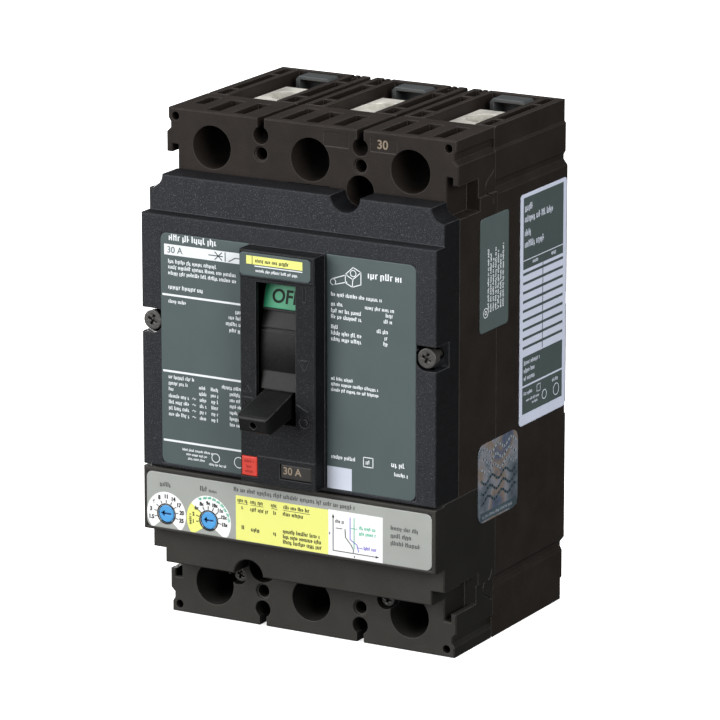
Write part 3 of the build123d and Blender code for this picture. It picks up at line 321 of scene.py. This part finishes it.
class Print:
    """Ink on one surface: flat shapes in its own millimetres, gathered into one thin mesh per ink."""

    def __init__(self, name, body, slot, depth, to_3d=front, turn=None):
        self.name, self.body, self.slot, self.depth = name, body, slot, depth
        self.to_3d, self.turn, self.inks = to_3d, turn, {}

    def poly(self, ink, points, lift=0):
        verts, faces = self.inks.setdefault((ink, lift), ([], []))
        first = len(verts)
        verts.extend((u, v) for u, v in points)
        faces.append(tuple(range(first, first + len(points))))

    def rect(self, ink, u0, u1, v0, v1, lift=0):
        self.poly(ink, [(u0, v0), (u1, v0), (u1, v1), (u0, v1)], lift)

    def line(self, ink, points, width, lift=0):
        for (u0, v0), (u1, v1) in zip(points, points[1:]):
            along = Vector((u1 - u0, v1 - v0)).normalized() * width / 2
            du, dv = -along.y, along.x
            # the ends reach a little past the points so that corners close
            u0, v0 = u0 - along.x * 0.5, v0 - along.y * 0.5
            u1, v1 = u1 + along.x * 0.5, v1 + along.y * 0.5
            self.poly(ink, [(u0 - du, v0 - dv), (u1 - du, v1 - dv), (u1 + du, v1 + dv), (u0 + du, v0 + dv)],
                      lift)

    def sector(self, ink, centre, inner, outer, start, stop, lift=0, floor=None):
        """Part of a ring between two angles in degrees, cut off level at the floor."""
        steps = max(4, int(abs(stop - start) / 6))
        angles = [math.radians(start + (stop - start) * i / steps) for i in range(steps + 1)]
        for a, b in zip(angles, angles[1:]):
            quad = [(centre[0] + r * math.cos(t), centre[1] + r * math.sin(t))
                    for r, t in ((inner, a), (outer, a), (outer, b), (inner, b))]
            if floor is not None:
                quad = [(u, max(v, floor)) for u, v in quad]
            self.poly(ink, quad, lift)

    def text(self, ink, words, u, v, size, align="LEFT", lift=0, squeeze=1.0, weight=0.0):
        curve = bpy.data.curves.new("words", "FONT")
        curve.body, curve.size, curve.align_x, curve.align_y = words, size, align, "CENTER"
        curve.offset = weight
        temp = bpy.data.objects.new("words", curve)
        scene.collection.objects.link(temp)
        bpy.context.view_layer.update()
        mesh = bpy.data.meshes.new_from_object(temp.evaluated_get(bpy.context.evaluated_depsgraph_get()))
        verts, faces = self.inks.setdefault((ink, lift), ([], []))
        first = len(verts)
        verts.extend((u + vert.co.x * squeeze, v + vert.co.y) for vert in mesh.vertices)
        faces.extend(tuple(first + i for i in face.vertices) for face in mesh.polygons)
        bpy.data.objects.remove(temp)

    def small_print(self, ink, u, v, width, height, turn=0.0, lift=0):
        """A row of unreadable small print: uprights and short joins, grouped like words."""
        spin = Matrix.Rotation(math.radians(turn), 2)
        stroke, gap, along, left = height * 0.21, height * 0.40, 0.0, rng.randint(3, 8)

        def bar(a0, a1, b0, b1):
            corners = [spin @ Vector(p) for p in ((a0, b0), (a1, b0), (a1, b1), (a0, b1))]
            self.poly(ink, [(u + p.x, v + p.y) for p in corners], lift)

        while along < width - stroke:
            low, high = rng.choice(((0, 1), (0, 0.72), (0, 0.72), (0, 0.72), (-0.2, 0.7)))
            bar(along, along + stroke, low * height, high * height)
            if left % 2:
                level = rng.choice((0.0, 0.32, 0.6)) * height
                bar(along + stroke, min(width, along + gap), level, level + stroke * 0.8)
            along += gap
            left -= 1
            if left <= 0:
                along += height * 0.45
                left = rng.randint(3, 9)

    def finish(self):
        """Makes one piece for each ink and layer, and fixes it to the body."""
        for (ink, lift), (verts, faces) in self.inks.items():
            mesh = bpy.data.meshes.new(self.name)
            depth = self.depth + INK_RISE + LAYER_STEP * lift
            place = [Vector(self.to_3d(u, v, depth)) * MM for u, v in verts]
            if self.turn:
                place = [self.turn @ p for p in place]
            mesh.from_pydata(place, [], faces)
            mesh.update()
            tag = f"{self.name}_{ink}" + (f"_{lift}" if lift else "")
            made = bpy.data.objects.new(tag, mesh)
            scene.collection.objects.link(made)
            mesh.materials.append(INK[ink])
            thick = made.modifiers.new("film", "SOLIDIFY")
            thick.thickness, thick.offset = FILM * MM, 0
            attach(made, self.body)


rng = random.Random(7)

# depths of the printed faces, in mm from the panel
PLATE = 86.15
BLOCK_FACE = 71.27
PLUG_FACE = 91.62
BUTTON_FACE = 92.15
BOSS_PLATE = 92.45
DIAL_FACE = 85.42

# left nameplate
left = Print("left_plate_print", "case", "plate_slate", PLATE)
left.rect("white", -43.6, -13.4, 38.6, 42.0)
left.line("slate", [(-27.6, 40.3), (-22.6, 40.3)], 0.3, 1)
for a in (-1, 1):
    left.line("slate", [(-25.4, 40.3 - 1.2 * a), (-22.9, 40.3 + 1.2 * a)], 0.3, 1)
left.line("slate", [(-21.7, 38.9), (-21.7, 41.7)], 0.3, 1)
left.line("slate", [(-20.4, 39.0), (-18.2, 40.3), (-13.6, 40.3)], 0.3, 1)
left.small_print("white", -41.9, 43.3, 17.0, 2.0)
left.text("slate", "30 A", -42.6, 40.2, 2.9, lift=1)
for v, width in ((36.1, 18.0), (34.3, 25.0), (32.4, 25.2)):
    left.small_print("white", -42.2, v, width, 1.25)
left.small_print("white", -42.2, 27.9, 12.6, 1.35)
left.small_print("white", -42.2, 23.4, 7.0, 1.2)
for v in (25.9, 1.5, -20.8):
    left.rect("white", -44.4, -13.4, v - 0.33, v + 0.33)
for i, width in enumerate((4.2, 6.6, 7.6, 6.4)):
    left.small_print("white", -14.0 - width, 22.8 - 2.0 * i, width, 1.25)
left.small_print("white", -42.4, -0.8, 9.6, 1.15)
left.small_print("white", -42.4, -2.8, 6.8, 1.15)
left.small_print("white", -42.4, -4.7, 2.0, 1.15)
for i in range(4):
    v = -6.9 - 1.95 * i
    left.small_print("white", -42.4, v, 7.4, 1.2)
    left.line("white", [(-33.9, v + 0.5), (-33.4, v + 0.9), (-33.0, v + 0.3), (-32.6, v + 0.7)], 0.18)
    left.small_print("white", -31.2, v, 2.4, 1.2)
    left.small_print("white", -27.0, v, 2.4, 1.2)
for u in (-31.4, -27.2):
    left.small_print("white", u, -3.0, 2.8, 1.15)
    left.small_print("white", u, -4.9, 2.8, 1.15)
left.small_print("white", -23.2, -1.6, 9.4, 1.15)
for i in range(6):
    left.small_print("white", -20.4, -3.6 - 1.95 * i, 5.8, 1.15)
for i, (u, width) in enumerate(((-37.6, 11.6), (-36.2, 7.6), (-35.6, 6.2))):
    left.small_print("white", u, -23.4 - 1.35 * i, width, 0.8)
left.small_print("white", -28.0, -26.9, 6.5, 0.8)
left.sector("white", (-25.6, -24.3), 1.25, 1.5, 0, 360)
left.sector("white", (-17.2, -24.6), 1.55, 1.8, 0, 360)
left.finish()

# right nameplate, with a lug and its conductor drawn in outline
right = Print("right_plate_print", "case", "plate_slate", PLATE)
lug_box = [(20.6, 39.9), (23.3, 42.4), (26.0, 41.1), (26.0, 37.3), (23.0, 36.2), (20.6, 37.3), (20.6, 39.9),
           (23.2, 38.6), (26.0, 41.1)]
right.line("white", lug_box, 0.28)
right.line("white", [(23.2, 38.6), (23.0, 36.2)], 0.28)
right.sector("white", (23.3, 40.5), 0.85, 1.1, 0, 360)
right.line("white", [(21.2, 39.9), (16.2, 38.1)], 0.28)
right.line("white", [(21.2, 37.6), (16.4, 36.2)], 0.28)
right.sector("white", (16.3, 37.1), 0.8, 1.05, 0, 360)
right.small_print("white", 28.4, 39.6, 11.6, 2.1)
right.small_print("white", 15.6, 32.7, 17.6, 1.25)
right.small_print("white", 15.6, 29.7, 4.2, 1.25)
for v in (27.6, 25.7, 20.6, 18.7):
    right.small_print("white", 15.6, v, 10.6, 1.3)
right.small_print("white", 15.6, 22.5, 2.6, 1.25)
right.small_print("white", 27.4, 29.9, 10.4, 1.2)
for v, u, width in ((28.2, 34.6, 2.4), (26.3, 33.9, 3.1), (23.0, 31.5, 4.2),
                    (21.1, 34.2, 1.1), (19.3, 33.8, 2.0)):
    right.small_print("white", u, v, width, 1.25)
for i, width in enumerate((8.0, 16.4, 16.6)):
    right.small_print("white", 15.6, 6.3 - 1.75 * i, width, 1.1)
right.small_print("white", 15.6, -18.5, 8.6, 1.25)
right.line("white", [(26.9, -16.7), (30.2, -16.7), (30.2, -19.7), (26.9, -19.7), (26.9, -16.7)], 0.25)
right.small_print("white", 27.7, -18.7, 1.6, 1.2)
right.small_print("white", 36.6, -18.4, 5.6, 1.6)
right.small_print("white", 37.6, -21.2, 4.7, 1.2)
right.rect("lavender", 14.2, 22.8, -28.1, -21.1)
right.finish()

# plate over the window
plate = Print("escutcheon_print", "case", "plate_slate", BOSS_PLATE)
plate.rect("yellow", -10.5, 9.2, 41.0, 43.6)
plate.rect("white", -7.6, 9.2, 40.35, 40.65)
plate.line("black", [(-8.4, 41.0), (-8.4, 43.6)], 0.2, 1)
plate.small_print("black", -7.3, 41.7, 11.8, 1.2, lift=1)
plate.small_print("white", -7.2, 38.7, 15.0, 0.95)
plate.finish()

# moulded recess plates on the line terminal block, and the rating plug
marks = Print("block_print", "case", "case_brown", BLOCK_FACE)
marks.text("beige", "30", 23.2, 77.5, 3.9, weight=0.06)
marks.finish()
rating = Print("rating_print", "case", "plate_black", PLUG_FACE)
rating.text("beige", "30 A", 1.7, -23.2, 3.3, weight=0.05)
rating.finish()

# trip button
button = Print("button_print", "trip_button", "button_red", BUTTON_FACE)
for v, width in ((-22.0, 3.4), (-23.7, 2.0), (-25.3, 2.9)):
    button.small_print("red_dark", -10.05 - width / 2, v, width, 0.95)
button.finish()

# setting label: scales round the dials, a table and a tripping curve
LABEL = 86.1                            # the label's face
DIAL_Z = -44.9
CURRENT_U, MAGNETIC_U = -43.7, -28.3    # the two dials' middles
SCALE_FLOOR = -49.45                    # the label's lower edge cuts the scales off
label = Print("setting_print", "case", "label_grey", LABEL)
for centre, radius in ((CURRENT_U, 7.1), (MAGNETIC_U, 8.0)):
    label.sector("paper", (centre, DIAL_Z), 2.9, radius, -52, 232, floor=SCALE_FLOOR)
    label.sector("black", (centre, DIAL_Z), 3.0, 3.4, 0, 360, 2)
label.sector("yellow", (MAGNETIC_U, DIAL_Z), 3.5, 8.0, 142, 232, 1, floor=SCALE_FLOOR)


def scale(centre, words, start, step, tick, width, size, squeeze):
    """Ticks and figures clockwise round a dial, from a start angle in degrees."""
    for i, figure in enumerate(words):
        angle = math.radians(start - i * step)
        du, dv = math.cos(angle), math.sin(angle)
        label.line("black", [(centre + 3.6 * du, DIAL_Z + 3.6 * dv),
                             (centre + tick * du, DIAL_Z + tick * dv)], width, 2)
        label.text("black", figure, centre + 5.7 * du, DIAL_Z + 5.6 * dv, size, "CENTER",
                   lift=2, squeeze=squeeze, weight=0.07)


scale(CURRENT_U, ["1.5", "3", "6", "8", "11", "14", "17", "20", "25"], 196, 26.5, 4.4, 0.24, 1.8, 0.88)
scale(MAGNETIC_U, ["1", "2", "6x", "8x", "9x", "10x", "11x", "12x", "13x"], 190, 24.5, 4.6, 0.26, 1.6, 0.85)
for i in range(9):
    angle = 118 - i * 13
    t = math.radians(angle)
    label.small_print("mint", MAGNETIC_U + 7.0 * math.cos(t), DIAL_Z + 7.0 * math.sin(t),
                      1.3, 0.85, angle - 90, 2)
label.small_print("black", -34.6, -46.9, 3.4, 0.95, 90, 2)
label.small_print("grey", -46.0, -36.0, 4.0, 1.4)
label.small_print("grey", -31.4, -35.6, 2.4, 1.6)
label.small_print("grey", -28.2, -35.7, 3.0, 0.9)
label.small_print("grey", -19.2, -34.0, 43.0, 1.45)
label.rect("yellow", -18.5, 14.5, -49.5, -35.2)
label.rect("paper", 14.5, 33.6, -49.5, -35.0)
for u, width in ((-17.8, 3.6), (-13.2, 4.6), (-5.8, 2.2), (-1.4, 9.4)):
    label.small_print("black", u, -37.2, width, 1.25, lift=1)
    label.rect("black", u, u + width, -37.75, -37.6, 1)
for u, v, width in ((-16.4, -39.4, 0.6), (-13.2, -39.6, 6.6), (-5.0, -39.6, 0.9), (-1.6, -39.4, 7.6),
                    (-16.4, -45.9, 0.9), (-13.0, -46.1, 3.2), (-5.0, -46.2, 0.9), (-1.6, -45.0, 13.0),
                    (-1.6, -46.7, 13.6), (-1.6, -48.4, 13.8)):
    label.small_print("black", u, v, width, 1.3, lift=1)
label.line("black", [(16.2, -47.9), (16.2, -36.8)], 0.25, 1)
label.line("black", [(16.2, -47.9), (31.6, -47.9)], 0.25, 1)
label.poly("black", [(15.8, -37.4), (16.6, -37.4), (16.2, -36.2)], 1)
label.poly("black", [(31.2, -48.3), (31.2, -47.5), (32.4, -47.9)], 1)
label.line("black", [(20.4, -40.6), (20.6, -43.2), (22.6, -45.4), (23.4, -46.8), (23.3, -47.6)], 0.25, 1)
label.line("violet", [(22.2, -36.6), (22.2, -43.6), (24.6, -45.0), (25.2, -47.2)], 0.25, 1)
label.line("mint", [(23.6, -36.6), (23.6, -46.4)], 0.25, 1)
label.line("mint", [(22.6, -40.0), (24.6, -40.0)], 0.22, 1)
for v in (-39.9, -41.7):
    label.small_print("mint", 25.4, v, 6.0, 1.1, lift=1)
label.small_print("violet", 27.0, -46.2, 4.4, 1.1, lift=1)
label.line("violet", [(24.6, -45.9), (26.6, -45.9)], 0.22, 1)
label.small_print("black", 17.0, -38.9, 3.0, 1.1, lift=1)
label.line("black", [(17.2, -40.6), (19.4, -40.6)], 0.22, 1)
label.small_print("black", 14.8, -43.0, 0.6, 1.1, lift=1)
label.small_print("black", 23.6, -49.3, 0.4, 1.0, lift=1)
for i, width in enumerate((9.6, 7.6, 10.6)):
    label.small_print("grey", 36.4, -38.4 - 2.4 * i, width, 1.4)
label.finish()

# arrows on the dials
for body, centre in (("current_dial", CURRENT_U), ("magnetic_dial", MAGNETIC_U)):
    arrow = Print(f"{body}_arrow", body, "dial_blue", DIAL_FACE)
    arrow.rect("navy", centre - 1.7, centre + 1.65, DIAL_Z - 0.28, DIAL_Z + 0.28)
    arrow.poly("navy", [(centre - 2.0, DIAL_Z), (centre - 0.75, DIAL_Z - 0.95),
                        (centre - 0.75, DIAL_Z + 0.95)])
    arrow.finish()

# side labels
SIDE = 52.2                   # the labels' faces, in mm from the middle
record_label = Print("record_label_print", "case", "label_lavender", SIDE, side)
record_label.rect("slate", -30.4, -3.6, 33.0, 55.8)
record_label.rect("lavender", -30.4, -3.6, 35.7, 36.0, 1)
for v, width in ((51.6, 5.0), (48.0, 19.0), (43.6, 4.6), (39.9, 13.0)):
    record_label.small_print("lavender", -29.6, v, width, 2.1, lift=1)
record_label.small_print("lavender", -24.2, 34.1, 3.6, 1.3, lift=1)
record_label.small_print("lavender", -11.6, 34.1, 3.4, 1.3, lift=1)
record_label.rect("slate", -17.4, -17.1, 5.4, 33.0, 1)
for i in range(9):
    v = 31.1 - i * 2.95
    record_label.rect("slate", -30.4, -3.6, v, v + 0.85)
record_label.rect("slate", -30.4, -3.6, -4.2, 5.0)
for i, width in enumerate((11.0, 7.2, 7.8)):
    record_label.small_print("lavender", -29.6, 2.4 - 2.5 * i, width, 1.4, lift=1)
record_label.rect("slate", -30.4, -3.6, -13.4, -4.8)
record_label.small_print("lavender", -29.6, -7.4, 5.6, 1.2, lift=1)
record_label.small_print("lavender", -10.4, -7.2, 4.6, 1.1, lift=1)
record_label.small_print("lavender", -28.0, -9.6, 9.0, 0.8, lift=1)
record_label.small_print("lavender", -24.0, -11.0, 4.0, 0.8, lift=1)
record_label.line("lavender", [(-20.6, -5.8), (-18.4, -5.8), (-18.4, -8.0), (-20.6, -8.0), (-20.6, -5.8)],
                  0.22, 1)
record_label.sector("lavender", (-7.6, -10.2), 1.7, 2.0, 0, 360, 1)
record_label.sector("lavender", (-15.6, -10.0), 1.3, 1.6, 0, 360, 1)
record_label.finish()
rating_label = Print("side_rating_print", "case", "label_greygreen", SIDE, side)
for i in range(7):
    rating_label.small_print("white", -53.0 + 1.6 * i, 24.6, 20.0 - (i % 3) * 1.6, 0.95, 90)
rating_label.sector("white", (-55.0, 24.8), 1.35, 1.6, 0, 360)
rating_label.sector("white", (-55.0, 24.8), 0.4, 0.65, 0, 360)
rating_label.finish()
sticker = Print("sticker_print", "case", "sticker_foil", SIDE, side)
for i in range(6):
    wave = [(-57.2 + 1.45 * k, -19.4 - 3.1 * i + 1.1 * math.sin(1.05 * k + 0.9 * i)) for k in range(17)]
    sticker.line("petrol" if i > 2 else "silver", wave, 0.8)
sticker.rect("petrol", -57.6, -33.8, -41.2, -38.6, 1)
sticker.small_print("silver", -56.8, -40.4, 20.0, 1.0, lift=2)
sticker.finish()

# words let into the state flags on the shutter
PIVOT = Vector((0, -22.4, 13.4)) * MM
FLAG_RADIUS = 67.0            # from the pivot to the flags' outer faces
REST_ANGLE = -13.2            # the handle's lean at rest


def flag_words(name, words, ink, slot, angle, u):
    """angle is measured at rest, in degrees above straight-ahead from the handle's pivot."""
    turn = Matrix.Translation(PIVOT) @ Matrix.Rotation(-math.radians(angle), 4, "X")
    flag = Print(name, "handle", slot, FLAG_RADIUS, turn=turn)
    flag.text(ink, words, u, 0.0, 5.9, "CENTER", squeeze=0.96, weight=0.14)
    flag.finish()


flag_words("off_words", "OFF", "green_dark", "flag_green", REST_ANGLE + 27.9, 0.5)
flag_words("on_words", "ON", "paper", "flag_red", REST_ANGLE - 28.9, -0.5)

# ---- floor --------------------------------------------------------------------------------------------
REACH, GAP = 6.0, 0.0002      # m: half the floor's width, and how far it lies under the object
low = cad_box[0][2] - GAP
floor_mesh = bpy.data.meshes.new("floor")
corners = [(-REACH, -REACH, low), (REACH, -REACH, low), (REACH, REACH, low), (-REACH, REACH, low)]
floor_mesh.from_pydata(corners, [], [(0, 1, 2, 3)])
floor = bpy.data.objects.new("floor", floor_mesh)
scene.collection.objects.link(floor)
pale = bpy.data.materials.new("floor_pale")
pale.use_nodes = True
tree = pale.node_tree
bsdf = tree.nodes["Principled BSDF"]
speckle = tree.nodes.new("ShaderNodeTexNoise")
speckle.inputs["Scale"].default_value = 3.0
tint = tree.nodes.new("ShaderNodeMapRange")
tint.inputs["To Min"].default_value, tint.inputs["To Max"].default_value = 0.93, 0.97
tree.links.new(speckle.outputs["Fac"], tint.inputs["Value"])
tree.links.new(tint.outputs["Result"], bsdf.inputs["Base Color"])
bsdf.inputs["Roughness"].default_value = 0.9
bsdf.inputs["Emission Color"].default_value = WHITE
bsdf.inputs["Emission Strength"].default_value = 0.75
floor_mesh.materials.append(pale)
# the floor throws no light back on the object
floor.visible_glossy = floor.visible_diffuse = False
